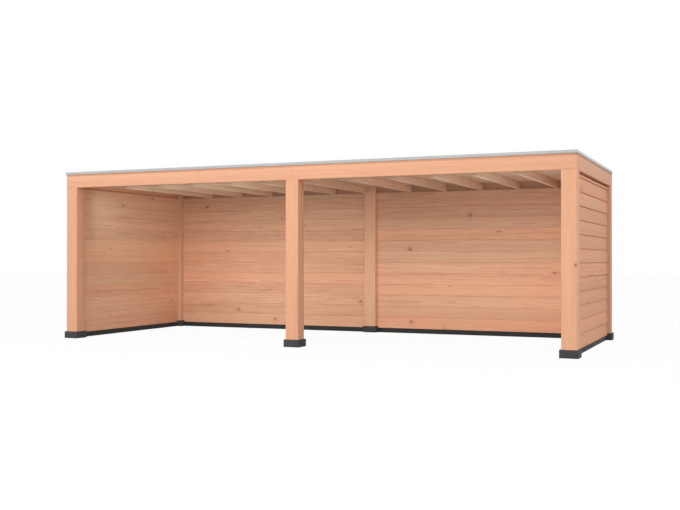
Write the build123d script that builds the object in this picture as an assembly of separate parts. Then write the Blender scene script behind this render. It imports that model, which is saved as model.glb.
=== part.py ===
from build123d import *
import math
import os

# A flat-roofed wooden garden canopy, open along its front, with boarded back and end walls.
# X runs along the front, the open front faces -Y, and Z rises from the ground under the feet.

# Overall sizes over the posts, and up to the top of the roof trim
length = 7500.0
depth = 3000.0
height = 2470.0

# Posts, and the dark blocks that they stand on
post_side = 185.0
post_ease = 4.0
foot_height = 100.0
foot_overhang = 22.0
foot_ease = 6.0

# Ring of header beams on the posts, flush with the posts' outer faces
beam_thickness = 70.0
beam_height = 220.0
beam_ease = 3.0
beam_joint = 2.0

# Joists hung between the front and rear beams, in a left and a right field
joist_width = 45.0
joist_height = 108.0
joist_ease = 3.0
left_joist_count = 6
right_joist_count = 5
left_joist_end_shares = (0.0993, 0.4900)
right_joist_end_shares = (0.5876, 0.8956)

# Roof tray that lies on the joists, inside the ring of beams
deck_thickness = 18.0
membrane_thickness = 3.0

# Folded metal trim over the top edge of the beams
trim_sheet = 2.5
trim_face = 48.0
trim_rise = 13.0
trim_nose = 16.0
trim_leg = 60.0
trim_bend = 2.0

# Walls, from the posts' outer faces inwards
wall_recess = 40.0
cladding_thickness = 24.0
cavity = 30.0
lining_thickness = 24.0
board_pitch = 175.0
board_lean = 11.0
gap_height = 6.0
gap_depth = 17.0
joint_width = 5.0
joint_depth = 3.0

# Dark plinth strips under the walls, from foot to foot
plinth_height = 75.0
plinth_drip = 18.0
plinth_setback = 5.0
plinth_ease = 3.0

# Overrun of every cut past the piece that it cuts
overrun = 100.0

# Levels and clear spans that follow from the sizes above
posts_in_row = 3
beam_top = height - trim_rise
beam_bottom = beam_top - beam_height
deck_bottom = beam_bottom + joist_height
deck_top = deck_bottom + deck_thickness
inner_length = length - 2 * beam_thickness
inner_depth = depth - 2 * beam_thickness
bay_span = (length - posts_in_row * post_side) / (posts_in_row - 1)
end_span = depth - 2 * post_side
wall_height = beam_bottom - plinth_height
wall_thickness = cladding_thickness + cavity + lining_thickness

# The turn about Z that brings a piece made for the front round to each side
FRONT, RIGHT, REAR, LEFT = 0, 90, 180, 270


def on_side(turn, reach, shift=0):
    """Place a piece that was made with its outer face on y = 0 and looking to -Y."""
    return Rot(0, 0, turn) * Pos(shift, -reach, 0)


def eased_bar(plane, width, rise, ease, run):
    """A straight bar with eased long edges, centred on the plane and running along its normal."""
    section = chamfer(Rectangle(width, rise).vertices(), ease)
    return extrude(plane * section, amount=run / 2, both=True)


def extruded_outline(points, run):
    """A closed outline of (y, z) points carried along X for the run, centred."""
    face = make_face(Polyline(*points, close=True))
    return extrude(Plane.YZ * face, amount=run / 2, both=True)


def post_bar(low, high):
    """A length of post between two levels."""
    bar = eased_bar(Plane.XY, post_side, post_side, post_ease, high - low)
    return Pos(0, 0, (low + high) / 2) * bar


def post(place):
    """One square post: the beams lie on its outer part, and its head rises inside them to the deck."""
    middle = beam_bottom + joist_height / 2
    inside_beams = Pos(0, 0, middle) * Box(inner_length, inner_depth, joist_height)
    head = place * post_bar(beam_bottom, deck_bottom) & inside_beams
    return place * post_bar(foot_height, beam_bottom) + head


def foot_block():
    """The square block under a post, a little larger than the post, before its edges are eased."""
    side = post_side + 2 * foot_overhang
    return Pos(0, 0, foot_height / 2) * Box(side, side, foot_height)


def foot():
    """The block under a post, with an eased upper edge."""
    block = foot_block()
    return chamfer(block.faces().sort_by(Axis.Z)[-1].edges(), foot_ease)


def beam(run):
    """One header beam along X, with its outer face on y = 0."""
    bar = eased_bar(Plane.YZ, beam_thickness, beam_height, beam_ease, run)
    return Pos(0, beam_thickness / 2, beam_bottom + beam_height / 2) * bar


def row_beam():
    """The beam over a whole row of posts: two timbers that meet over the middle post."""
    run = (length - beam_joint) / 2
    shift = (length + beam_joint) / 4
    return Pos(-shift, 0, 0) * beam(run) + Pos(shift, 0, 0) * beam(run)


def joist(x):
    """One joist along Y, flush with the underside of the beams, between them or the middle posts."""
    meets_posts = abs(x) < (post_side + joist_width) / 2
    run = end_span if meets_posts else inner_depth
    bar = eased_bar(Plane.XZ, joist_width, joist_height, joist_ease, run)
    return Pos(x, 0, beam_bottom + joist_height / 2) * bar


def joist_places():
    """Centre lines of the joists along X: each field is spread evenly between its two end joists."""
    places = []
    fields = ((left_joist_end_shares, left_joist_count), (right_joist_end_shares, right_joist_count))
    for (first_share, last_share), count in fields:
        step_share = (last_share - first_share) / (count - 1)
        places += [length * (first_share + index * step_share - 1 / 2) for index in range(count)]
    return places


def roof_deck():
    """The roof boarding on the joists, filling the ring of beams."""
    return Pos(0, 0, deck_bottom + deck_thickness / 2) * Box(inner_length, inner_depth, deck_thickness)


def roof_membrane():
    """The waterproof sheet: a tray on the deck, turned up against the beams to their top."""
    rise = beam_top - deck_top
    block = Pos(0, 0, deck_top + rise / 2) * Box(inner_length, inner_depth, rise)
    return offset(block, amount=-membrane_thickness, openings=block.faces().sort_by(Axis.Z)[-1])


def roof_trim(run):
    """One length of folded trim, mitred at both ends: a face, a raised nose and a leg on the beam."""
    drop = trim_face - trim_rise
    inside = trim_rise - trim_sheet
    nose_back = trim_nose - trim_sheet
    outer = [(-trim_sheet, -drop), (-trim_sheet, trim_rise), (trim_nose, trim_rise)]
    leg = [(trim_nose, trim_sheet), (trim_leg, trim_sheet), (trim_leg, 0)]
    inner = [(nose_back, 0), (nose_back, inside), (0, inside), (0, -drop)]
    bar = extruded_outline(outer + leg + inner, run + 2 * overrun)
    bends = bar.edges().filter_by(Axis.X).group_by(Axis.Z)[-1]
    bar = fillet(bends, trim_bend)
    for end in (-1, 1):
        mitre = Plane(origin=(end * run / 2, 0, 0), z_dir=(-end, -1, 0))
        bar = split(bar, bisect_by=mitre, keep=Keep.TOP)
    return Pos(0, 0, beam_top) * bar


def between_feet(piece, run):
    """A piece of a wall panel, notched at both ends around the feet that reach into its span."""
    for end in (-1, 1):
        piece -= Pos(end * (run + post_side) / 2, post_side / 2, 0) * foot_block()
    return piece


def joint_levels():
    """Heights above the plinth of the joints between the courses of boards."""
    least_strip = max(gap_height, joint_width)
    count = math.ceil((wall_height - least_strip) / board_pitch)
    return [course * board_pitch for course in range(1, count)]


def cladding(run):
    """Outer boards of one wall panel: each course leans in, under a shadow gap below the next one."""
    back = wall_recess + cladding_thickness
    gap_back = wall_recess + gap_depth
    points = [(back, 0), (wall_recess, 0)]
    for level in joint_levels():
        gap_top = level + gap_height
        points += [(wall_recess + board_lean, level), (gap_back, level)]
        points += [(gap_back, gap_top), (wall_recess, gap_top)]
    points += [(wall_recess, wall_height), (back, wall_height)]
    boards = Pos(0, 0, plinth_height) * extruded_outline(points, run)
    return between_feet(boards, run)


def lining(run):
    """Inner boards of one wall panel: flat courses with a small vee at each joint."""
    face = wall_recess + wall_thickness
    back = face - lining_thickness
    points = [(back, 0), (face, 0)]
    for level in joint_levels():
        lower_lip = (face, level - joint_width / 2)
        upper_lip = (face, level + joint_width / 2)
        points += [lower_lip, (face - joint_depth, level), upper_lip]
    points += [(face, wall_height), (back, wall_height)]
    boards = Pos(0, 0, plinth_height) * extruded_outline(points, run)
    return between_feet(boards, run)


def plinth(run):
    """The strip under one wall panel: set back inside, and more outside, where the boards drip clear."""
    width = wall_thickness - plinth_drip - plinth_setback
    bar = eased_bar(Plane.YZ, width, plinth_height, plinth_ease, run)
    strip = Pos(0, wall_recess + plinth_drip + width / 2, plinth_height / 2) * bar
    return between_feet(strip, run)


def export_part(node, shape):
    """Write one piece under its own name."""
    export_step(shape, f"parts/{node}.step")


os.makedirs("parts", exist_ok=True)

# Posts and feet: a front and a rear row, at the two corners and the middle
row_step = (length - post_side) / (posts_in_row - 1)
row_reach = (depth - post_side) / 2
for row, y in (("front", -row_reach), ("rear", row_reach)):
    for column, name in enumerate(("left", "middle", "right")):
        place = Pos((column - 1) * row_step, y, 0)
        export_part(f"{row}_{name}_post", post(place))
        export_part(f"{row}_{name}_foot", place * foot())

# Beams and trim: the front and rear beams run through, the end beams fit between them
for name, turn in (("front", FRONT), ("rear", REAR)):
    export_part(f"{name}_beam", on_side(turn, depth / 2) * row_beam())
    export_part(f"{name}_roof_trim", on_side(turn, depth / 2) * roof_trim(length))
for name, turn in (("left", LEFT), ("right", RIGHT)):
    export_part(f"{name}_beam", on_side(turn, length / 2) * beam(inner_depth))
    export_part(f"{name}_roof_trim", on_side(turn, length / 2) * roof_trim(depth))

# Roof
for number, x in enumerate(joist_places(), start=1):
    export_part(f"joist_{number:02d}", joist(x))
export_part("roof_deck", roof_deck())
export_part("roof_membrane", roof_membrane())

# Wall panels: two behind the bays of the open front, one at each end
bay_shift = (bay_span + post_side) / 2
panels = (
    ("back_left", on_side(REAR, depth / 2, bay_shift), bay_span),
    ("back_right", on_side(REAR, depth / 2, -bay_shift), bay_span),
    ("left", on_side(LEFT, length / 2), end_span),
    ("right", on_side(RIGHT, length / 2), end_span),
)
for name, place, span in panels:
    export_part(f"{name}_cladding", place * cladding(span))
    export_part(f"{name}_lining", place * lining(span))
    export_part(f"{name}_plinth", place * plinth(span))
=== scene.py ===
import logging
import math
from collections.abc import Callable
from dataclasses import dataclass, field, replace
from enum import Enum
from typing import Any

import bpy
import numpy as np
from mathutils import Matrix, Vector


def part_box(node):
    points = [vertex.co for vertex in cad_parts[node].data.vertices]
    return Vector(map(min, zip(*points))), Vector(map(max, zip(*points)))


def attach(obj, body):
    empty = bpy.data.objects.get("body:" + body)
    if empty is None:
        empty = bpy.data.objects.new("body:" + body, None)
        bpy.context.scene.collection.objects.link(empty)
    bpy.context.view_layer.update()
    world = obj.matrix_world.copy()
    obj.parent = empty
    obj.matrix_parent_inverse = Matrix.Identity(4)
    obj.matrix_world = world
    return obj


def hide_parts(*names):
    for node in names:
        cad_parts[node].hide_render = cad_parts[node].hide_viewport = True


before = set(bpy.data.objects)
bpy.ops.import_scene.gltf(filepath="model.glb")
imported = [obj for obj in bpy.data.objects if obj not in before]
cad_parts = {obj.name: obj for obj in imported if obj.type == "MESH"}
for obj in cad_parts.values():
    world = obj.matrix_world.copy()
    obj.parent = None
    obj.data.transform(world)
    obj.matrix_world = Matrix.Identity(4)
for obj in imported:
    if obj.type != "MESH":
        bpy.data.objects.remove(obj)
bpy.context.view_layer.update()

# The looks of a flat-roofed wooden garden canopy: sawn timber with rings, streaks and knots,
# lapped and flush boards course by course, dark base blocks, metal roof trim and a roof sheet.
# Every length is in metres, in the frame of the solids.

Array = np.ndarray
Colour = tuple[float, float, float]
Point = tuple[float, float, float]

LOG = logging.getLogger("canopy")
BODY = "root"
BEAMS = ("front_beam", "rear_beam", "left_beam", "right_beam")
UP = np.array([0.0, 0.0, 1.0])
WHITE: Colour = (1.0, 1.0, 1.0)
SHARP_ANGLE = math.radians(32.0)


class Side(Enum):
    """A side of the canopy, by the way that its outer face looks."""

    FRONT = (0.0, -1.0, 0.0)
    BACK = (0.0, 1.0, 0.0)
    LEFT = (-1.0, 0.0, 0.0)
    RIGHT = (1.0, 0.0, 0.0)


class Lie(Enum):
    """How a timber lies: the axes that it runs along, is wide across and is deep through."""

    ALONG_FRONT = (0, 2, 1)
    FRONT_TO_BACK = (1, 2, 0)
    UPRIGHT = (2, 0, 1)
    ROOF_BOARD = (0, 1, 2)


class Socket:
    """One value of a shader graph, with the arithmetic that the finishes are written in."""

    def __init__(self, graph: "Graph", link: bpy.types.NodeSocket) -> None:
        """Wrap one output socket of a graph."""
        self.graph = graph
        self.link = link

    def _math(self, operation: str, *values: Any) -> "Socket":
        """Add one Math node that works on these values."""
        return self.graph.add("ShaderNodeMath", {"operation": operation}, dict(enumerate(values)))

    def __add__(self, other: Any) -> "Socket":
        """The sum."""
        return self._math("ADD", self, other)

    __radd__ = __add__

    def __sub__(self, other: Any) -> "Socket":
        """The difference."""
        return self._math("SUBTRACT", self, other)

    def __rsub__(self, other: Any) -> "Socket":
        """The difference from a number."""
        return self._math("SUBTRACT", other, self)

    def __mul__(self, other: Any) -> "Socket":
        """The product."""
        return self._math("MULTIPLY", self, other)

    __rmul__ = __mul__

    def __truediv__(self, other: Any) -> "Socket":
        """The quotient."""
        return self._math("DIVIDE", self, other)

    def __rtruediv__(self, other: Any) -> "Socket":
        """The quotient of a number."""
        return self._math("DIVIDE", other, self)

    def __pow__(self, other: Any) -> "Socket":
        """The power."""
        return self._math("POWER", self, other)

    def __rpow__(self, other: Any) -> "Socket":
        """The power of a number."""
        return self._math("POWER", other, self)

    def fraction(self) -> "Socket":
        """What is left after the whole number below."""
        return self._math("FRACT", self)

    def falloff(self) -> "Socket":
        """The natural exponential of minus the value."""
        return self._math("EXPONENT", self * -1.0)

    def turn(self, other: "Socket") -> "Socket":
        """The angle whose tangent is this value over the other one."""
        return self._math("ARCTAN2", self, other)

    def above(self, threshold: float) -> "Socket":
        """One where the value is over the threshold, and zero elsewhere."""
        return self._math("GREATER_THAN", self, threshold)

    def smooth(self, low: Any, high: Any, start: float = 0.0, end: float = 1.0) -> "Socket":
        """A smooth step from start to end as the value goes from low to high."""
        settings = {"interpolation_type": "SMOOTHSTEP", "clamp": True}
        return self.graph.add("ShaderNodeMapRange", settings, {0: self, 1: low, 2: high, 3: start, 4: end})

    def blend(self, first: Any, second: Any) -> "Socket":
        """The mix of two colours, with this value as the share of the second."""
        settings = {"data_type": "RGBA", "clamp_factor": True}
        return self.graph.add("ShaderNodeMix", settings, {0: self, 6: first, 7: second}, 2)

    def tinted(self, colour: Any, share: Any = 1.0) -> "Socket":
        """This colour multiplied by another one."""
        settings = {"data_type": "RGBA", "blend_type": "MULTIPLY"}
        return self.graph.add("ShaderNodeMix", settings, {0: share, 6: self, 7: colour}, 2)

    def parts(self) -> tuple["Socket", "Socket", "Socket"]:
        """The three components of a vector."""
        x = self.graph.add("ShaderNodeSeparateXYZ", {}, {0: self})
        outputs = x.link.node.outputs
        return x, Socket(self.graph, outputs[1]), Socket(self.graph, outputs[2])


class Graph:
    """The node tree of one material or world."""

    def __init__(self, tree: bpy.types.NodeTree) -> None:
        """Start from an empty tree."""
        self.tree = tree
        tree.nodes.clear()

    def add(self, kind: str, settings: dict[str, Any], inputs: dict[Any, Any],
            output: Any = 0) -> Socket | None:
        """Make a node.

        Args:
            kind: the node's type.
            settings: its properties, set before its sockets.
            inputs: a value or a Socket for each input, by name or number.
            output: the output to hand back, by name or number.

        Returns:
            The chosen output, or nothing where the node has none.
        """
        node = self.tree.nodes.new(kind)
        for name, value in settings.items():
            setattr(node, name, value)
        for key, value in inputs.items():
            if isinstance(value, Socket):
                self.tree.links.new(value.link, node.inputs[key])
            else:
                node.inputs[key].default_value = self._fitted(node.inputs[key], value)
        return Socket(self, node.outputs[output]) if node.outputs else None

    @staticmethod
    def _fitted(socket: bpy.types.NodeSocket, value: Any) -> Any:
        """A colour of three numbers gets its alpha where the socket holds four."""
        if socket.type == "RGBA" and len(value) == 3:
            return (*value, 1.0)
        return value

    def vector(self, x: Any, y: Any, z: Any) -> Socket:
        """A vector from three values."""
        return self.add("ShaderNodeCombineXYZ", {}, {0: x, 1: y, 2: z})

    def noise(self, place: Socket, scale: float, detail: float = 2.0, roughness: float = 0.5) -> Socket:
        """Smooth noise about zero, from minus one to one."""
        inputs = {"Vector": place, "Scale": scale, "Detail": detail, "Roughness": roughness}
        return self.add("ShaderNodeTexNoise", {}, inputs) * 2.0 - 1.0

    def attribute(self, name: str) -> Socket:
        """A vector that the mesh carries at its points."""
        return self.add("ShaderNodeAttribute", {"attribute_name": name}, {}, "Vector")

    def place(self) -> Socket:
        """The point on the surface, in the frame of the solids."""
        return self.add("ShaderNodeTexCoord", {}, {}, "Object")

    def bump(self, height: Socket, distance: float, strength: float) -> Socket:
        """A normal that leans with the slope of a height."""
        return self.add("ShaderNodeBump", {}, {"Strength": strength, "Distance": distance, "Height": height})

    def surface(self, shader: Socket, output: str = "ShaderNodeOutputMaterial") -> None:
        """Finish the tree with its output node."""
        self.add(output, {}, {"Surface": shader})

    def dress(self, **inputs: Any) -> None:
        """Finish the tree with the main surface shader, its sockets named in words joined by underscores."""
        named = {name.replace("_", " "): value for name, value in inputs.items()}
        if "Specular" in named:
            named["Specular IOR Level"] = named.pop("Specular")
        self.surface(self.add("ShaderNodeBsdfPrincipled", {}, named))


def new_material(name: str) -> tuple[bpy.types.Material, Graph]:
    """An empty material and its graph."""
    material = bpy.data.materials.new(name)
    material.use_nodes = True
    return material, Graph(material.node_tree)


@dataclass(frozen=True)
class TimberFinish:
    """Planed softwood, worked out in the round: rings about a pith, with knots that grow out from it."""

    name: str
    early: Colour = (0.93, 0.495, 0.305)
    late: Colour = (0.64, 0.24, 0.157)
    knot: Colour = (0.42, 0.175, 0.095)
    pink: Colour = (1.02, 0.97, 0.96)
    tan: Colour = (0.98, 1.02, 0.99)
    ring: float = 0.0075
    figure: float = 0.75
    knot_spacing: float = 0.46
    knot_radius: float = 0.0105
    knots_kept: float = 0.6
    knot_push: float = 0.012
    pin_spacing: float = 0.31
    pin_radius: float = 0.005
    pins_kept: float = 0.35
    pin_push: float = 0.005
    pin_offset: float = 7.3
    taper: float = 0.004
    bow: float = 0.011
    tremor: float = 0.0014
    relief: float = 0.0004
    roughness: float = 0.62
    # Painted shadow under the metal trim: the trim's lower edge, how far below it the shade is full, how far
    # it fades out below that, and its tint
    trim_shadow_line: float | None = None
    trim_shadow_depth: float = 0.020
    trim_shadow_fade: float = 0.016
    trim_shadow_tint: Colour = (0.76, 0.73, 0.72)

    def material(self) -> bpy.types.Material:
        """Build the finish.

        The grain attribute gives each point's place in its log: along it, and across and deep from
        the pith. The distance from the pith, bent by slow noise and pushed aside by the knots, is
        cut into rings; each ring darkens from early to late wood. Where there is a trim shadow line,
        a painted shadow, for the shade under the metal trim, darkens the wood from the shadow's
        depth under that line upwards.

        Returns:
            The material.
        """
        material, graph = new_material(self.name)
        place = graph.attribute("grain").parts()
        along, across, deep = place
        tone, warmth, streaks = graph.attribute("tint").parts()
        angle = across.turn(deep)
        knot, swell = self._knots(graph, along, angle, self.knot_spacing, self.knot_radius, self.knots_kept)
        further = along + self.pin_offset
        pin, ripple = self._knots(graph, further, angle, self.pin_spacing, self.pin_radius, self.pins_kept)
        slow = self._drawn(graph, place, 0.9, 6.0)
        fine = self._drawn(graph, place, 3.5, 40.0)
        radius = (across * across + deep * deep) ** 0.5
        bent = radius + along * self.taper + slow * self.bow + fine * self.tremor
        pushed = bent + swell * self.knot_push + ripple * self.pin_push
        years = pushed / self.ring
        saw = years.fraction()
        late = saw.smooth(0.20, 0.86) * saw.smooth(0.88, 1.0, 1.0, 0.0)
        band = graph.noise(graph.vector(years * 0.21, along * 0.12, 0.0), 1.0, 3.0)
        streak = self._drawn(graph, place, 1.8, 44.0, 3.0, 0.6)
        dash = self._drawn(graph, place, 3.6, 66.0).smooth(0.02, 0.48)
        fibre = self._drawn(graph, place, 7.0, 420.0, 3.0)
        marks = (0.06 + 0.26 * band + 0.46 * streak + 0.30 * dash) * streaks
        dark = late * (0.45 + 0.45 * band) * self.figure + marks + 0.40 * swell + 0.05 * fibre
        wood = dark.blend(self.early, self.late)
        wood = wood.tinted(warmth.blend(self.pink, self.tan))
        level = tone * (1.0 + 0.06 * streak + 0.035 * fibre)
        wood = wood.tinted(graph.vector(level, level, level))
        wood = (knot + pin * 0.8).blend(wood, self.knot)
        # Painted shadow: the wood darkens under the trim's lower edge, standing in for the shade that the
        # trim casts
        if self.trim_shadow_line is not None:
            shadow_edge = self.trim_shadow_line - self.trim_shadow_depth
            painted_trim_shadow = graph.place().parts()[2].smooth(shadow_edge - self.trim_shadow_fade, shadow_edge)
            wood = wood.tinted(self.trim_shadow_tint, painted_trim_shadow)
        height = late * 0.5 + fibre * 0.5 - knot * 0.4
        rough = self.roughness + 0.07 * fibre - 0.10 * late - 0.12 * knot
        graph.dress(
            Base_Color=wood,
            Roughness=rough,
            Specular=0.32,
            Normal=graph.bump(height, self.relief, 0.7),
        )
        return material

    @staticmethod
    def _drawn(graph: Graph, place: tuple[Socket, Socket, Socket], run: float, cross: float,
               detail: float = 2.0, roughness: float = 0.5) -> Socket:
        """Noise that is drawn out along the grain.

        Args:
            graph: the material's graph.
            place: the place along, across and deep in the log.
            run: how often the noise changes in a metre along the log.
            cross: how often it changes in a metre across the log.
            detail: how many finer noises lie over it.
            roughness: how strong those are.

        Returns:
            The noise, from minus one to one.
        """
        along, across, deep = place
        return graph.noise(graph.vector(along * run, across * cross, deep * cross), 1.0, detail, roughness)

    @staticmethod
    def _knots(graph: Graph, along: Socket, angle: Socket, spacing: float, size: float,
               kept: float) -> tuple[Socket, Socket]:
        """Knots, one in some of the cells of a net round the log, drawn out along the grain.

        Args:
            graph: the material's graph.
            along: the place along the log.
            angle: the angle round the pith.
            spacing: the width of a cell.
            size: a knot's mean radius.
            kept: the share of the cells that have a knot.

        Returns:
            The knots' darkness, and how far they push the rings aside, both from zero to one.
        """
        arm, stretch = 0.11, 1.8
        net = graph.vector(along / (spacing * stretch), angle * (arm / spacing), 0.0)
        flat = {"voronoi_dimensions": "2D"}
        distance = graph.add("ShaderNodeTexVoronoi", flat, {"Vector": net, "Scale": 1.0})
        keep, girth, shade = Socket(graph, distance.link.node.outputs["Color"]).parts()
        there = keep.above(1.0 - kept)
        away = distance * spacing / (size * (0.5 + girth))
        wobble = graph.noise(graph.vector(along * 60.0, angle * 7.0, 0.0), 1.0) * 0.16
        core = (away + wobble).smooth(0.5, 1.3, 1.0, 0.0) * there * (0.5 + 0.5 * shade)
        halo = (away * away * 0.16).falloff() * there
        return core, halo


@dataclass(frozen=True)
class MetalFinish:
    """Bare aluminium sheet with a satin skin, drawn streaks and faint cloudy marks."""

    name: str
    colour: Colour = (0.61, 0.61, 0.615)
    dull: Colour = (0.53, 0.53, 0.535)
    roughness: float = 0.42
    relief: float = 0.0001

    def material(self) -> bpy.types.Material:
        """Build the finish: streaks are noise drawn out along the level, marks are plain noise."""
        material, graph = new_material(self.name)
        x, y, z = graph.place().parts()
        streak = graph.noise(graph.vector(x * 1.5, y * 1.5, z * 600.0), 1.0, 3.0)
        marks = graph.noise(graph.vector(x, y, z), 5.0, 4.0, 0.6)
        colour = (0.5 + 0.28 * marks + 0.18 * streak).blend(self.colour, self.dull)
        graph.dress(
            Base_Color=colour,
            Metallic=0.85,
            Roughness=self.roughness + 0.06 * marks + 0.04 * streak,
            Normal=graph.bump(streak, self.relief, 0.4),
        )
        return material


@dataclass(frozen=True)
class BlockFinish:
    """Dark cast base blocks: a fine grain of stone in dyed cement, with pores and patches of dust."""

    name: str
    colour: Colour = (0.053, 0.054, 0.055)
    dust: Colour = (0.122, 0.121, 0.119)
    roughness: float = 0.78
    relief: float = 0.0012

    def material(self) -> bpy.types.Material:
        """Build the finish: speckle is fine noise, pores are small cells, dust is slow noise."""
        material, graph = new_material(self.name)
        place = graph.place()
        speckle = graph.noise(place, 420.0, 3.0, 0.7)
        cloud = graph.noise(place, 7.0, 4.0, 0.6)
        cells = graph.add("ShaderNodeTexVoronoi", {}, {"Vector": place, "Scale": 130.0})
        pores = cells.smooth(0.10, 0.22, 1.0, 0.0)
        share = 0.22 + 0.20 * cloud + 0.16 * speckle - 0.3 * pores
        graph.dress(
            Base_Color=share.blend(self.colour, self.dust),
            Roughness=self.roughness + 0.08 * speckle,
            Specular=0.3,
            Normal=graph.bump(speckle * 0.35 - pores, self.relief, 0.8),
        )
        return material


@dataclass(frozen=True)
class SheetFinish:
    """Black rubber roof sheet with welded seams across the roof, a cloudy bloom and fine grit."""

    name: str
    colour: Colour = (0.030, 0.031, 0.033)
    bloom: Colour = (0.085, 0.087, 0.090)
    seam_spacing: float = 1.84
    seam_width: float = 0.045
    roughness: float = 0.68
    relief: float = 0.0022

    def material(self) -> bpy.types.Material:
        """Build the finish: a seam is a raised band where X comes round to a whole number of strips."""
        material, graph = new_material(self.name)
        place = graph.place()
        x = place.parts()[0]
        strip = ((x / self.seam_spacing + 0.5).fraction() - 0.5) * self.seam_spacing
        seam = (strip * strip).smooth(0.5 * self.seam_width**2, self.seam_width**2, 1.0, 0.0)
        cloud = graph.noise(place, 1.3, 5.0, 0.65)
        grit = graph.noise(place, 260.0, 2.0)
        share = 0.40 + 0.42 * cloud + 0.10 * grit - 0.12 * seam
        graph.dress(
            Base_Color=share.blend(self.colour, self.bloom),
            Roughness=self.roughness + 0.12 * cloud,
            Specular=0.35,
            Normal=graph.bump(seam + 0.12 * grit, self.relief, 0.8),
        )
        return material


@dataclass(frozen=True)
class Log:
    """Where one timber was sawn from its tree, and how that tree is coloured."""

    start: float
    pith_across: float
    pith_deep: float
    tone: float
    warmth: float
    streaks: float


@dataclass
class Sawmill:
    """Hands out logs in a fixed order, so that every timber has its own grain, the same in each run."""

    seed: int
    grain_length: float = 40.0
    pith_swing: float = 1.3
    pith_gap: float = 0.015
    pith_reach: float = 0.09
    least_streaks: float = 0.5
    more_streaks: float = 0.9
    random: np.random.Generator = field(init=False)

    def __post_init__(self) -> None:
        """Seed the draws."""
        self.random = np.random.default_rng(self.seed)

    def log(self, width: float, depth: float, spread: float, streaks: float, mean: float = 1.0,
            tan: float = 0.5) -> Log:
        """Saw one timber.

        Args:
            width: the timber's width.
            depth: its thickness.
            spread: how far its tone may be from the mean.
            streaks: how strong its streaks are, as a mean.
            mean: the mean tone.
            tan: how far its colour leans from pink, at zero, to tan, at one.

        Returns:
            The log, with its pith outside the timber's back, so that the face shows flames.
        """
        start, side, back, tone, warmth, figure = self.random.random(6)
        return Log(
            start=self.grain_length * start,
            pith_across=(side - 0.5) * self.pith_swing * width,
            pith_deep=-(depth / 2 + self.pith_gap + self.pith_reach * back),
            tone=mean + spread * (2.0 * tone - 1.0),
            warmth=(warmth + tan) / 2,
            streaks=streaks * (self.least_streaks + self.more_streaks * figure),
        )


@dataclass
class Shape:
    """The points, faces and grain of one piece, gathered from closed swept skins."""

    points: list[Array] = field(default_factory=list)
    grain: list[Array] = field(default_factory=list)
    tint: list[Array] = field(default_factory=list)
    faces: list[list[int]] = field(default_factory=list)
    count: int = 0

    def sweep(self, rings: Array, local: Array | None = None, log: Log | None = None) -> None:
        """Add a closed skin over a row of rings, with a flat cap on the first and the last.

        Args:
            rings: the points, as rings by points in a ring by three.
            local: the same points along, across and deep in the timber, where it has grain.
            log: the log that the timber comes from, where it has grain.
        """
        rows, columns = rings.shape[:2]
        index = np.arange(rows * columns).reshape(rows, columns)
        after = np.roll(index, -1, axis=1)
        quads = np.stack([index[:-1], after[:-1], after[1:], index[1:]], axis=-1).reshape(-1, 4)
        caps = [index[0, ::-1], index[-1]]
        points = rings.reshape(-1, 3)
        if enclosed_volume(points, quads, caps) < 0:
            quads = quads[:, ::-1]
            caps = [cap[::-1] for cap in caps]
        self.faces += (quads + self.count).tolist() + [(cap + self.count).tolist() for cap in caps]
        self.points.append(points)
        self.count += len(points)
        if log is not None:
            shift = np.array([log.start, -log.pith_across, -log.pith_deep])
            self.grain.append(local.reshape(-1, 3) + shift)
            self.tint.append(np.tile([log.tone, log.warmth, log.streaks], (len(points), 1)))

    def piece(self, name: str, material: bpy.types.Material, slot: str, nodes: list[str]) -> None:
        """Make the object, dress it and let it stand for its nodes.

        Args:
            name: the piece's name.
            material: its finish.
            slot: the record's slot that the finish belongs to; not used.
            nodes: the nodes that the piece stands for.
        """
        mesh = bpy.data.meshes.new(name)
        mesh.from_pydata(np.concatenate(self.points).tolist(), [], self.faces)
        for label, rows in (("grain", self.grain), ("tint", self.tint)):
            if rows:
                values = np.concatenate(rows).astype(np.float32).ravel()
                mesh.attributes.new(label, "FLOAT_VECTOR", "POINT").data.foreach_set("vector", values)
        mesh.shade_smooth()
        mesh.set_sharp_from_angle(angle=SHARP_ANGLE)
        mesh.materials.append(material)
        mesh.validate()
        piece = bpy.data.objects.new(name, mesh)
        bpy.context.scene.collection.objects.link(piece)
        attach(piece, BODY)
        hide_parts(*nodes)
        LOG.info("%s: %d faces, for %s", name, len(self.faces), ", ".join(nodes))


def enclosed_volume(points: Array, quads: Array, caps: list[Array]) -> float:
    """The signed volume inside a skin: a sixth of the triple product of each triangle, summed."""
    fans = [np.stack([np.full(len(cap) - 2, cap[0]), cap[1:-1], cap[2:]], axis=-1) for cap in caps]
    triangles = np.concatenate([quads[:, [0, 1, 2]], quads[:, [0, 2, 3]], *fans])
    a, b, c = (points[triangles[:, corner]] - points[0] for corner in range(3))
    return float(np.einsum("ij,ij->", a, np.cross(b, c)) / 6.0)


def rounded_rectangle(width: float, height: float, radius: float, steps: int = 3) -> Array:
    """A loop round a rectangle: each corner is a quarter turn about a centre set in by the radius."""
    quarter = np.arange(4)[:, None]
    angle = (quarter + np.linspace(0.0, 1.0, steps + 1)[None, :]) * (math.pi / 2)
    side = np.sign(np.cos((quarter + 0.5) * (math.pi / 2)))
    rise = np.sign(np.sin((quarter + 0.5) * (math.pi / 2)))
    x = side * (width / 2 - radius) + radius * np.cos(angle)
    y = rise * (height / 2 - radius) + radius * np.sin(angle)
    return np.stack([x.ravel(), y.ravel()], axis=-1)


def rounded_edge(radius: float, points: int) -> tuple[Array, Array]:
    """How far a quarter round lies from the side that it leaves, and from the side that it joins.

    Over the turn, these are the radius times one minus the cosine, and times one minus the sine.
    """
    turn = np.linspace(0.0, math.pi / 2, points)
    return radius * (1.0 - np.cos(turn)), radius * (1.0 - np.sin(turn))


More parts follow.
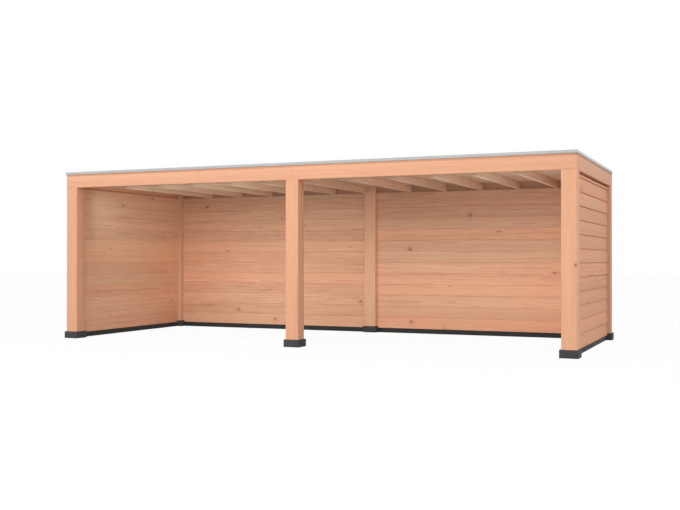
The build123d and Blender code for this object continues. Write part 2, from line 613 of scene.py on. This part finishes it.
def node_box(*nodes: str) -> tuple[Array, Array]:
    """The lowest and highest corner of some nodes together."""
    corners = [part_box(node) for node in nodes]
    low = np.min([np.array(pair[0]) for pair in corners], axis=0)
    high = np.max([np.array(pair[1]) for pair in corners], axis=0)
    return low, high


@dataclass
class Bar:
    """One straight timber with rounded long edges, between two corners of a box."""

    low: Array
    high: Array
    lie: Lie
    log: Log
    edge: float

    def build(self, shape: Shape) -> None:
        """Add the bar to a shape: a rounded rectangle carried along the timber's run.

        Args:
            shape: the piece that the bar belongs to.
        """
        axes = list(self.lie.value)
        size = (self.high - self.low)[axes]
        loop = rounded_rectangle(size[1], size[2], self.edge)
        run = np.array([-0.5, 0.5]) * size[0]
        local = np.empty((len(run), len(loop), 3))
        local[..., 0] = run[:, None]
        local[..., 1:] = loop[None, :, :]
        rings = np.empty_like(local)
        rings[..., axes] = local
        shape.sweep(rings + (self.low + self.high) / 2, local, self.log)


@dataclass
class TimberFrame:
    """Posts, header beams and joists."""

    mill: Sawmill
    post_finish: TimberFinish
    shaded_rear_post_finish: TimberFinish
    beam_finish: TimberFinish
    shaded_rear_beam_finish: TimberFinish
    joist_finish: TimberFinish
    tones: dict[str, float]
    shifts: dict[str, float]
    edge: float = 0.005
    beam_joint: float = 0.002
    spread: float = 0.03
    joist_spread: float = 0.06
    post_streaks: float = 0.55
    beam_streaks: float = 0.6
    joist_streaks: float = 0.5

    def build(self) -> None:
        """Make every timber of the frame.

        A post that is named in tones has a mean tone of its own, and the grain of one that is named in
        shifts is moved along it, to bring a knot to its face.
        """
        nodes = sorted(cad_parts)
        beam, joist = self.beam_finish.material(), self.joist_finish.material()
        for row, finish in (("front", self.post_finish), ("rear", self.shaded_rear_post_finish)):
            post = finish.material()
            for node in (n for n in nodes if n.startswith(row) and n.endswith("_post")):
                self._post(node, post)
        self._row_beam("front_beam", beam)
        self._row_beam("rear_beam", self.shaded_rear_beam_finish.material())
        for node in ("left_beam", "right_beam"):
            self._cross_timber(node, beam, "beam_timber", self.spread, self.beam_streaks)
        for node in (n for n in nodes if n.startswith("joist_")):
            self._cross_timber(node, joist, "joist_timber", self.joist_spread, self.joist_streaks)

    def _cross_timber(self, node: str, material: bpy.types.Material, slot: str, spread: float,
                      streaks: float) -> None:
        """Make one timber that runs from front to back, in the place of its node.

        Args:
            node: the node that it stands for.
            material: its finish.
            slot: the record's slot for the finish.
            spread: how far its tone may stray.
            streaks: how strong its streaks are.
        """
        low, high = node_box(node)
        log = self.mill.log(high[2] - low[2], high[0] - low[0], spread, streaks)
        shape = Shape()
        Bar(low, high, Lie.FRONT_TO_BACK, log, self.edge).build(shape)
        shape.piece(f"{node}_timber", material, slot, [node])

    def _post(self, node: str, material: bpy.types.Material) -> None:
        """Make one post: a full length up to the beams, and its head, which rises inside the ring of beams.

        Args:
            node: the node that it stands for.
            material: its finish.
        """
        low, high = node_box(node)
        deck = node_box("roof_deck")
        under = node_box(*BEAMS)[0][2]
        tone = self.tones.get(node, 1.0)
        log = self.mill.log(high[0] - low[0], high[1] - low[1], self.spread, self.post_streaks, tone)
        log = replace(log, start=log.start + self.shifts.get(node, 0.0))
        shape = Shape()
        Bar(low, np.array([high[0], high[1], under]), Lie.UPRIGHT, log, self.edge).build(shape)
        inner_low, inner_high = np.maximum(low, deck[0]), np.minimum(high, deck[1])
        inner_low[2], inner_high[2] = under, high[2]
        Bar(inner_low, inner_high, Lie.UPRIGHT, log, self.edge).build(shape)
        shape.piece(f"{node}_timber", material, "post_timber", [node])

    def _row_beam(self, node: str, material: bpy.types.Material) -> None:
        """Make the beam over a row of posts, as two timbers that meet over the middle post.

        Args:
            node: the node that they stand for.
            material: their finish.
        """
        low, high = node_box(node)
        shape = Shape()
        for start, end in ((low[0], -self.beam_joint / 2), (self.beam_joint / 2, high[0])):
            first, last = low.copy(), high.copy()
            first[0], last[0] = start, end
            log = self.mill.log(high[2] - low[2], high[1] - low[1], self.spread, self.beam_streaks)
            Bar(first, last, Lie.ALONG_FRONT, log, self.edge).build(shape)
        shape.piece(f"{node}_timbers", material, "beam_timber", [node])


@dataclass
class WallPanel:
    """One boarded panel between two posts: lapped boards outside and flush boards inside."""

    name: str
    side: Side
    mill: Sawmill
    pitch: float = 0.175
    lean: float = 0.011
    gap_height: float = 0.006
    gap_depth: float = 0.018
    head_gap: float = 0.018
    vee_width: float = 0.006
    vee_depth: float = 0.0045
    nose: float = 0.003
    ease: float = 0.002
    notch_step: float = 0.00001
    tone: float = 1.0
    spread: float = 0.06
    streaks: float = 1.0

    def build(self, outside: bpy.types.Material, inside: bpy.types.Material) -> None:
        """Make both skins of the panel.

        Args:
            outside: the finish of the lapped boards.
            inside: the finish of the flush boards.
        """
        outward = np.array(self.side.value)
        self._skin("cladding", outward, self._lapped, outside, "cladding_boards")
        self._skin("lining", -outward, self._flush, inside, "lining_boards")

    def _skin(self, kind: str, normal: Array, profile: Callable[[float, float, float, bool, bool], Array],
              material: bpy.types.Material, slot: str) -> None:
        """Make one skin, course by course from the plinth up.

        Args:
            kind: the ending of the node's name.
            normal: the way that the boards' faces look.
            profile: the function that gives a board's section.
            material: the finish.
            slot: the record's slot for the finish.
        """
        node = f"{self.name}_{kind}"
        low, high = node_box(node)
        along = np.abs(np.cross(normal, UP))
        length, thickness = (high - low) @ along, (high - low) @ np.abs(normal)
        back = np.where(normal > 0, low, high) * np.abs(normal)
        origin = back + (low + high) / 2 * along
        levels = np.arange(low[2], high[2] - self.gap_height, self.pitch)
        shape = Shape()
        for course, bottom in enumerate(levels):
            first, last = course == 0, course + 1 == len(levels)
            top = high[2] if last else levels[course + 1]
            # Painted light: on top of each log's random warmth, the boards lean from pink on the lowest
            # course to tan on the highest, for warmer light low on the wall
            rise = course / (len(levels) - 1)
            log = self.mill.log(self.pitch, thickness, self.spread, self.streaks, self.tone, rise)
            section = profile(thickness, bottom, top, first, last)
            self._board(shape, origin, along, normal, length, section, log, first)
        shape.piece(f"{node}_boards", material, slot, [node])

    def _board(self, shape: Shape, origin: Array, along: Array, normal: Array, length: float,
               section: Array, log: Log, lowest: bool) -> None:
        """Add one board: its section carried along the wall.

        The lowest board's underside steps up at both ends, over the feet.

        Args:
            shape: the piece that the board belongs to.
            origin: the middle of the panel's back plane, at ground level.
            along: the direction along the wall.
            normal: the direction that the board's face looks.
            length: the board's length.
            section: its outline, as (height, depth) points.
            log: the log that it comes from.
            lowest: whether it is the lowest board.
        """
        half = length / 2
        run = np.array([-half, half])
        if lowest:
            foot, post = node_box("front_left_foot"), node_box("front_left_post")
            inner = half - (foot[1][0] - post[1][0])
            clear = inner - self.notch_step
            run = np.array([-half, -inner, -clear, clear, inner, half])
        height = np.tile(section[:, 0], (len(run), 1))
        if lowest:
            ends = np.abs(run) >= inner
            height[ends] = np.maximum(height[ends], foot[1][2])
        depth = np.tile(section[:, 1], (len(run), 1))
        reach = np.tile(run[:, None], (1, len(section)))
        rings = origin + reach[..., None] * along + depth[..., None] * normal
        rings[..., 2] += height
        middle = (section[:, 0].min() + section[:, 0].max()) / 2
        local = np.stack([reach, height - middle, depth - section[:, 1].max() / 2], axis=-1)
        shape.sweep(rings, local, log)

    def _lapped(self, thickness: float, bottom: float, top: float, first: bool, last: bool) -> Array:
        """The section of an outer board: a rounded drip edge, a leaning face, and a tongue in the shadow gap.

        Args:
            thickness: the board's thickness at its drip edge.
            bottom: the height of the joint below.
            top: the height of the joint above.
            first: whether it is the lowest board.
            last: whether it is the highest board, which leaves a gap under the beam.

        Returns:
            The outline, as (height, depth) points.
        """
        drip = bottom if first else bottom + self.gap_height
        up, short = rounded_edge(self.nose, 4)
        lip = np.stack([drip + up, thickness - short], axis=-1)
        head = thickness - self.lean * (top - drip) / self.pitch
        brow = top - self.head_gap if last else top
        rest = [(brow - self.ease, head), (brow, head - self.ease)]
        if last:
            rest += [(brow, 0.0)]
        else:
            ledge, tongue = thickness - self.gap_depth, top + self.gap_height
            rest += [(top, ledge), (tongue, ledge), (tongue, 0.0)]
        return np.concatenate([[(drip, 0.0)], lip, rest])

    def _flush(self, thickness: float, bottom: float, top: float, first: bool, last: bool) -> Array:
        """The section of an inner board: flat, with half a vee at each joint.

        Args:
            thickness: the board's thickness.
            bottom: the height of the joint below.
            top: the height of the joint above.
            first: whether it is the lowest board, which has no vee below.
            last: whether it is the highest board, which has no vee above.

        Returns:
            The outline, as (height, depth) points.
        """
        half = self.vee_width / 2
        root = thickness - self.vee_depth
        low = [(bottom, thickness)] if first else [(bottom, root), (bottom + half, thickness)]
        high = [(top, thickness)] if last else [(top - half, thickness), (top, root)]
        return np.array([(bottom, 0.0), *low, *high, (top, 0.0)])


@dataclass
class Roof:
    """Roof boards on the joists, the rubber sheet over them, and the metal trim round the edge."""

    mill: Sawmill
    deck_finish: TimberFinish
    sheet_finish: SheetFinish
    trim_finish: MetalFinish
    board_width: float = 0.130
    board_edge: float = 0.003
    board_joint: float = 0.0006
    board_spread: float = 0.10
    board_streaks: float = 0.9
    sheet_thickness: float = 0.003
    cove: float = 0.030
    cove_margin: float = 0.06
    inmost_half: float = 0.15
    corner: float = 0.040
    sag: float = 0.0022
    waves: tuple[float, float] = (2.1, 3.3)
    wave_starts: tuple[float, float] = (0.7, -0.4)
    trim_face: float = 0.037
    trim_stand: float = 0.009
    trim_nose: float = 0.018
    trim_leg: float = 0.060
    trim_metal: float = 0.0025
    trim_bend: float = 0.004
    trim_hem: float = 0.008

    def build(self) -> None:
        """Make the deck, the sheet and the trim."""
        self._deck()
        self._sheet()
        trim = self.trim_finish.material()
        sides = {"front": Side.FRONT, "rear": Side.BACK, "left": Side.LEFT, "right": Side.RIGHT}
        for name, side in sides.items():
            self._trim(f"{name}_roof_trim", side, trim)

    def _deck(self) -> None:
        """Make the roof boards, side by side from front to back."""
        low, high = node_box("roof_deck")
        count = round((high[1] - low[1]) / self.board_width)
        edges = np.linspace(low[1], high[1], count + 1)
        shape = Shape()
        for front, back in zip(edges[:-1], edges[1:]):
            first, last = low.copy(), high.copy()
            first[1], last[1] = front + self.board_joint / 2, back - self.board_joint / 2
            log = self.mill.log(back - front, high[2] - low[2], self.board_spread, self.board_streaks)
            Bar(first, last, Lie.ROOF_BOARD, log, self.board_edge).build(shape)
        shape.piece("roof_deck_boards", self.deck_finish.material(), "deck_boards", ["roof_deck"])

    def _sheet(self) -> None:
        """Make the roof sheet, from nested rounded rectangles.

        Their section runs out under the tray, up its rim, down inside it, round a cove and in over the
        roof, where the product of a sine along the roof and one across it lets the sheet sag.
        """
        low, high = node_box("roof_membrane")
        width, depth = high[0] - low[0], high[1] - low[1]
        floor, rim = low[2], high[2]
        inmost = depth / 2 - self.inmost_half
        top = floor + self.sheet_thickness
        away, up = rounded_edge(self.cove, 6)
        flat = np.linspace(self.cove + self.cove_margin, inmost, 10)
        inset = np.concatenate([[inmost, 0.0, 0.0, self.sheet_thickness], self.sheet_thickness + away, flat])
        height = np.concatenate([[floor, floor, rim, rim], top + up, np.full(len(flat), top)])
        rings = np.stack([self._loop(width - 2 * step, depth - 2 * step, rise)
                          for step, rise in zip(inset, height)])
        wave = np.prod(np.sin(rings[..., :2] * self.waves + self.wave_starts), axis=-1)
        rings[-len(flat):, :, 2] += self.sag * (1.0 + wave[-len(flat):]) / 2
        rings += np.array([(low[0] + high[0]) / 2, (low[1] + high[1]) / 2, 0.0])
        shape = Shape()
        shape.sweep(rings)
        shape.piece("roof_sheet", self.sheet_finish.material(), "roof_sheet", ["roof_membrane"])

    def _trim(self, node: str, side: Side, material: bpy.types.Material) -> None:
        """Make one length of trim: a folded section carried along the beam.

        Each point of the section runs on past the beam's end by as much as it stands out, so that the four
        lengths meet in mitres.

        Args:
            node: the node that it stands for.
            side: the side of the canopy that it lies on.
            material: its finish.
        """
        outward = np.array(side.value)
        along = np.abs(np.cross(outward, UP))
        beams = node_box(*BEAMS)[1]
        out, rise = self._trim_section(node_box(node)[1][2] - beams[2]).T
        rings = np.empty((2, len(out), 3))
        for ring, end in zip(rings, (-1.0, 1.0)):
            ring[:] = (beams @ np.abs(outward) + out)[:, None] * outward
            ring += end * (beams @ along + out)[:, None] * along
            ring[:, 2] = beams[2] + rise
        shape = Shape()
        shape.sweep(rings)
        shape.piece(f"{node}_sheet", material, "trim_metal", [node])

    def _trim_section(self, top: float) -> Array:
        """The section of the trim: a hemmed face that stands off the beam, a nose with two bends, and a leg.

        Args:
            top: the height of the nose over the beam.

        Returns:
            The outline, as (outward, height) points from the beam's outer top edge.
        """
        foot, metal, bend, hem = top - self.trim_face, self.trim_metal, self.trim_bend, self.trim_hem
        front, back = self.trim_stand, -self.trim_nose
        leaving, joining = rounded_edge(bend, 5)
        outer = np.stack([front - leaving, top - joining], axis=-1)
        inner = np.stack([back + joining, top - leaving], axis=-1)
        leg = [(back, metal), (-self.trim_leg, metal), (-self.trim_leg, 0.0), (back + metal, 0.0)]
        under = [(back + metal, top - metal), (front - metal, top - metal), (front - metal, foot + hem)]
        fold = [(front - 2.0 * metal, foot + hem), (front - 2.0 * metal, foot), (front, foot)]
        return np.concatenate([outer, inner, leg, under, fold])

    def _loop(self, width: float, depth: float, height: float) -> Array:
        """One level loop: a rounded rectangle, with eight even steps from each of its points to the next."""
        corners = rounded_rectangle(width, depth, self.corner, 4)
        closed = np.concatenate([corners, corners[:1]])
        step = np.arange(len(closed))
        fine = np.linspace(0.0, len(corners), 8 * len(corners), endpoint=False)
        x, y = (np.interp(fine, step, closed[:, axis]) for axis in range(2))
        return np.stack([x, y, np.full(len(x), height)], axis=-1)


@dataclass
class Base:
    """The foot blocks under the posts and the plinth strips under the walls."""

    foot_finish: BlockFinish
    shaded_plinth_finish: BlockFinish
    foot_edge: float = 0.007
    plinth_edge: float = 0.004
    corner_share: float = 1.01

    def build(self) -> None:
        """Make every block and strip."""
        foot, plinth = self.foot_finish.material(), self.shaded_plinth_finish.material()
        for node in sorted(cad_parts):
            if node.endswith("_foot"):
                self._block(node, self.foot_edge, foot)
            elif node.endswith("_plinth"):
                self._block(node, self.plinth_edge, plinth)

    def _block(self, node: str, edge: float, material: bpy.types.Material) -> None:
        """Make one block: level loops that rise straight and then draw in round the upper edge.

        Args:
            node: the node that it stands for.
            edge: the radius of its upright and upper edges.
            material: its finish.
        """
        low, high = node_box(node)
        width, depth, rise = high - low
        leaving, joining = rounded_edge(edge, 5)
        inset = np.concatenate([[0.0], leaving])
        level = np.concatenate([[0.0], rise - joining])
        corner = edge * self.corner_share
        loops = [rounded_rectangle(width - 2 * step, depth - 2 * step, corner - step) for step in inset]
        rings = np.concatenate([np.stack(loops), np.zeros((len(inset), len(loops[0]), 1))], axis=-1)
        rings[..., 2] = level[:, None]
        shape = Shape()
        shape.sweep(rings + np.array([(low[0] + high[0]) / 2, (low[1] + high[1]) / 2, low[2]]))
        shape.piece(f"{node}_block", material, "base_block", [node])


@dataclass(frozen=True)
class Softbox:
    """One soft rectangular lamp."""

    name: str
    place: Point
    aim: Point
    size: tuple[float, float]
    power: float
    colour: Colour = WHITE

    def hang(self) -> None:
        """Hang the lamp in its place, looking at the point that it is aimed at."""
        data = bpy.data.lights.new(self.name, "AREA")
        data.shape = "RECTANGLE"
        data.size, data.size_y = self.size
        data.energy = self.power
        data.color = self.colour
        lamp = bpy.data.objects.new(self.name, data)
        lamp.location = self.place
        way = Vector(self.aim) - Vector(self.place)
        lamp.rotation_euler = way.to_track_quat("-Z", "Y").to_euler()
        lamp.visible_camera = False
        lamp.visible_glossy = False
        bpy.context.scene.collection.objects.link(lamp)


@dataclass
class Studio:
    """The pale floor, the soft light and the camera."""

    softboxes: tuple[Softbox, ...]
    eye: Point = (5.684, -12.916, 1.175)
    heading: float = 23.57
    pitch: float = 0.25
    lens: float = 50.457
    sensor: float = 36.0
    floor_reach: float = 60.0
    floor_drop: float = 0.0005
    floor_bounce: float = 0.08
    floor_white: float = 0.95
    ambient: float = 0.62
    dome: Colour = (1.0, 0.985, 0.97)

    def build(self) -> None:
        """Make the studio."""
        self._camera()
        self._world()
        self._floor()
        for softbox in self.softboxes:
            softbox.hang()

    def _camera(self) -> None:
        """Stand the camera before the front, past the canopy's right end and at chest height."""
        data = bpy.data.cameras.new("camera")
        data.lens = self.lens
        data.sensor_width = self.sensor
        camera = bpy.data.objects.new("camera", data)
        camera.location = self.eye
        camera.rotation_euler = (math.radians(90.0 + self.pitch), 0.0, math.radians(self.heading))
        bpy.context.scene.collection.objects.link(camera)
        bpy.context.scene.camera = camera

    @staticmethod
    def _seen(graph: Graph) -> Socket:
        """One for rays that show the background: from the camera, off gloss and through glass."""
        path = graph.add("ShaderNodeLightPath", {}, {}, "Is Camera Ray")
        outputs = path.link.node.outputs
        others = Socket(graph, outputs["Is Glossy Ray"]) + Socket(graph, outputs["Is Transmission Ray"])
        return (path + others).smooth(0.0, 1.0)

    def _world(self) -> None:
        """White where the background is seen, and an even dome of light elsewhere."""
        world = bpy.data.worlds.new("studio")
        world.use_nodes = True
        bpy.context.scene.world = world
        graph = Graph(world.node_tree)
        dome = graph.add("ShaderNodeBackground", {}, {"Color": self.dome, "Strength": self.ambient})
        white = graph.add("ShaderNodeBackground", {}, {"Color": WHITE, "Strength": 1.0})
        shader = graph.add("ShaderNodeMixShader", {}, {0: self._seen(graph), 1: dome, 2: white})
        graph.surface(shader, "ShaderNodeOutputWorld")

    def _floor(self) -> None:
        """A pale floor that shows white, with a trace of the canopy's shadow."""
        material, graph = new_material("studio_floor")
        seen = self._seen(graph)
        bounce = (self.floor_bounce,) * 3
        matt = graph.add("ShaderNodeBsdfDiffuse", {}, {"Color": seen.blend(bounce, WHITE)})
        white = graph.add("ShaderNodeEmission", {}, {"Color": WHITE, "Strength": 1.0})
        graph.surface(graph.add("ShaderNodeMixShader", {}, {0: seen * self.floor_white, 1: matt, 2: white}))
        corners = np.array([(-1, -1), (1, -1), (1, 1), (-1, 1)]) * self.floor_reach
        points = np.concatenate([corners, np.full((4, 1), -self.floor_drop)], axis=1)
        mesh = bpy.data.meshes.new("studio_floor")
        mesh.from_pydata(points.tolist(), [], [[0, 1, 2, 3]])
        mesh.materials.append(material)
        floor = bpy.data.objects.new("studio_floor", mesh)
        bpy.context.scene.collection.objects.link(floor)


# The finishes: the rear posts and the rear beam are painted darker than the front ones, as painted shade for
# the back of the canopy under the roof
POST_WOOD = TimberFinish("post_wood", knots_kept=0.32, ring=0.011, figure=0.42)
SHADED_REAR_POST_WOOD = replace(POST_WOOD, name="shaded_rear_post_wood", early=(0.82, 0.49, 0.315), late=(0.57, 0.22, 0.15))
BEAM_WOOD = TimberFinish(
    "beam_wood",
    early=(0.95, 0.53, 0.33),
    late=(0.66, 0.24, 0.16),
    knots_kept=0.65,
    pins_kept=0.5,
    figure=0.5,
    # the painted shadow under the trim starts at the trim's lower edge
    trim_shadow_line=float(node_box("front_roof_trim")[1][2]) - Roof.trim_face,
)
# painted shade: the rear beam is a darker copy of the beam wood, for the shade between the joists at the back
SHADED_REAR_BEAM_WOOD = replace(
    BEAM_WOOD, name="shaded_rear_beam_wood", early=(0.73, 0.445, 0.292), late=(0.50, 0.205, 0.138)
)
JOIST_WOOD = TimberFinish("joist_wood", early=(0.94, 0.69, 0.50), late=(0.68, 0.37, 0.27), knots_kept=0.25)
CLADDING_WOOD = TimberFinish(
    "cladding_wood", early=(0.985, 0.505, 0.278), late=(0.67, 0.225, 0.136), knots_kept=0.05, pins_kept=0.05
)
LINING_WOOD = TimberFinish(
    "lining_wood",
    early=(0.90, 0.537, 0.335),
    late=(0.62, 0.265, 0.18),
    pink=(1.11, 0.985, 0.955),
    tan=(0.93, 1.015, 1.035),
    knots_kept=0.42,
)
DECK_WOOD = TimberFinish("deck_wood", early=(0.80, 0.58, 0.415), late=(0.59, 0.32, 0.22))
# The plinth strips are the feet's dark cast stone, painted darker as painted shade under the walls
SHADED_PLINTH_CONCRETE = BlockFinish("plinth_concrete", colour=(0.034, 0.035, 0.036), dust=(0.072, 0.071, 0.070))

# Posts with a tone of their own, and how far a post's grain is moved along it to bring a knot to its face
POST_TONES = {"front_right_post": 1.08, "rear_middle_post": 1.11}
POST_SHIFTS = {"front_right_post": 55.24}

# The wall panels, in the order that their boards are sawn in, and those with a tone of their own
PANELS = {"back_left": Side.BACK, "back_right": Side.BACK, "left": Side.LEFT, "right": Side.RIGHT}
PANEL_TONES = {"left": 1.11}

# Large lamps before the front and the right end, and small ones in the bays, most of them cool, against the
# red that the light picks up between the walls; BAY is how far the middle of each bay is from the centre
BAY = 1.85
SOFTBOXES = (
    Softbox("key_low", (-1.8, -11.0, 2.9), (0.0, 0.0, 1.2), (12.0, 1.8), 247.0),
    Softbox("key_high", (-1.8, -11.0, 5.2), (0.0, 0.0, 1.2), (12.0, 3.0), 520.0),
    Softbox("side", (8.0, -9.0, 2.2), (-3.0, 0.0, 1.2), (6.0, 4.0), 53.0),
    Softbox("right", (11.0, -2.0, 3.6), (3.7, 0.0, 1.2), (4.0, 2.5), 158.0),
    Softbox("left_floor_fill", (-BAY, -0.2, 0.03), (-BAY, -0.2, 1.0), (3.2, 2.2), 3.7, (0.86, 1.03, 1.11)),
    Softbox("right_floor_fill", (BAY, -0.2, 0.03), (BAY, -0.2, 1.0), (3.2, 2.2), 9.6),
    Softbox("left_roof_fill", (-0.3, -0.9, 0.5), (-3.0, -0.7, 2.0), (0.9, 0.8), 10.0, (0.83, 1.04, 1.10)),
    Softbox("right_roof_fill", (3.5, -0.9, 0.9), (0.2, -0.75, 1.5), (0.8, 1.2), 4.2, (0.90, 1.01, 1.09)),
    Softbox("joist_fill", (3.4, -0.3, 1.5), (0.2, -0.1, 2.05), (1.6, 0.5), 3.5, (0.56, 1.08, 1.36)),
    Softbox("left_back_fill", (-BAY, -1.1, 1.9), (-BAY, 1.4, 2.0), (3.0, 0.3), 5.9, (0.80, 1.04, 1.13)),
    Softbox("right_back_fill", (BAY, -1.1, 1.9), (BAY, 1.4, 2.0), (3.0, 0.3), 4.3, (0.88, 1.01, 1.07)),
)


def main() -> None:
    """Build and dress the canopy, piece by piece, and set up the studio."""
    logging.basicConfig(level=logging.INFO, format="%(message)s")
    bpy.context.scene.view_settings.view_transform = "Standard"
    mill = Sawmill(seed=7)
    TimberFrame(
        mill,
        post_finish=POST_WOOD,
        shaded_rear_post_finish=SHADED_REAR_POST_WOOD,
        beam_finish=BEAM_WOOD,
        shaded_rear_beam_finish=SHADED_REAR_BEAM_WOOD,
        joist_finish=JOIST_WOOD,
        tones=POST_TONES,
        shifts=POST_SHIFTS,
    ).build()
    boards = CLADDING_WOOD.material(), LINING_WOOD.material()
    for name, side in PANELS.items():
        WallPanel(name, side, mill, tone=PANEL_TONES.get(name, 1.0)).build(*boards)
    Roof(mill, DECK_WOOD, SheetFinish("roof_rubber"), MetalFinish("trim_aluminium")).build()
    Base(BlockFinish("foot_concrete"), SHADED_PLINTH_CONCRETE).build()
    Studio(SOFTBOXES).build()


if __name__ == "__main__":
    main()
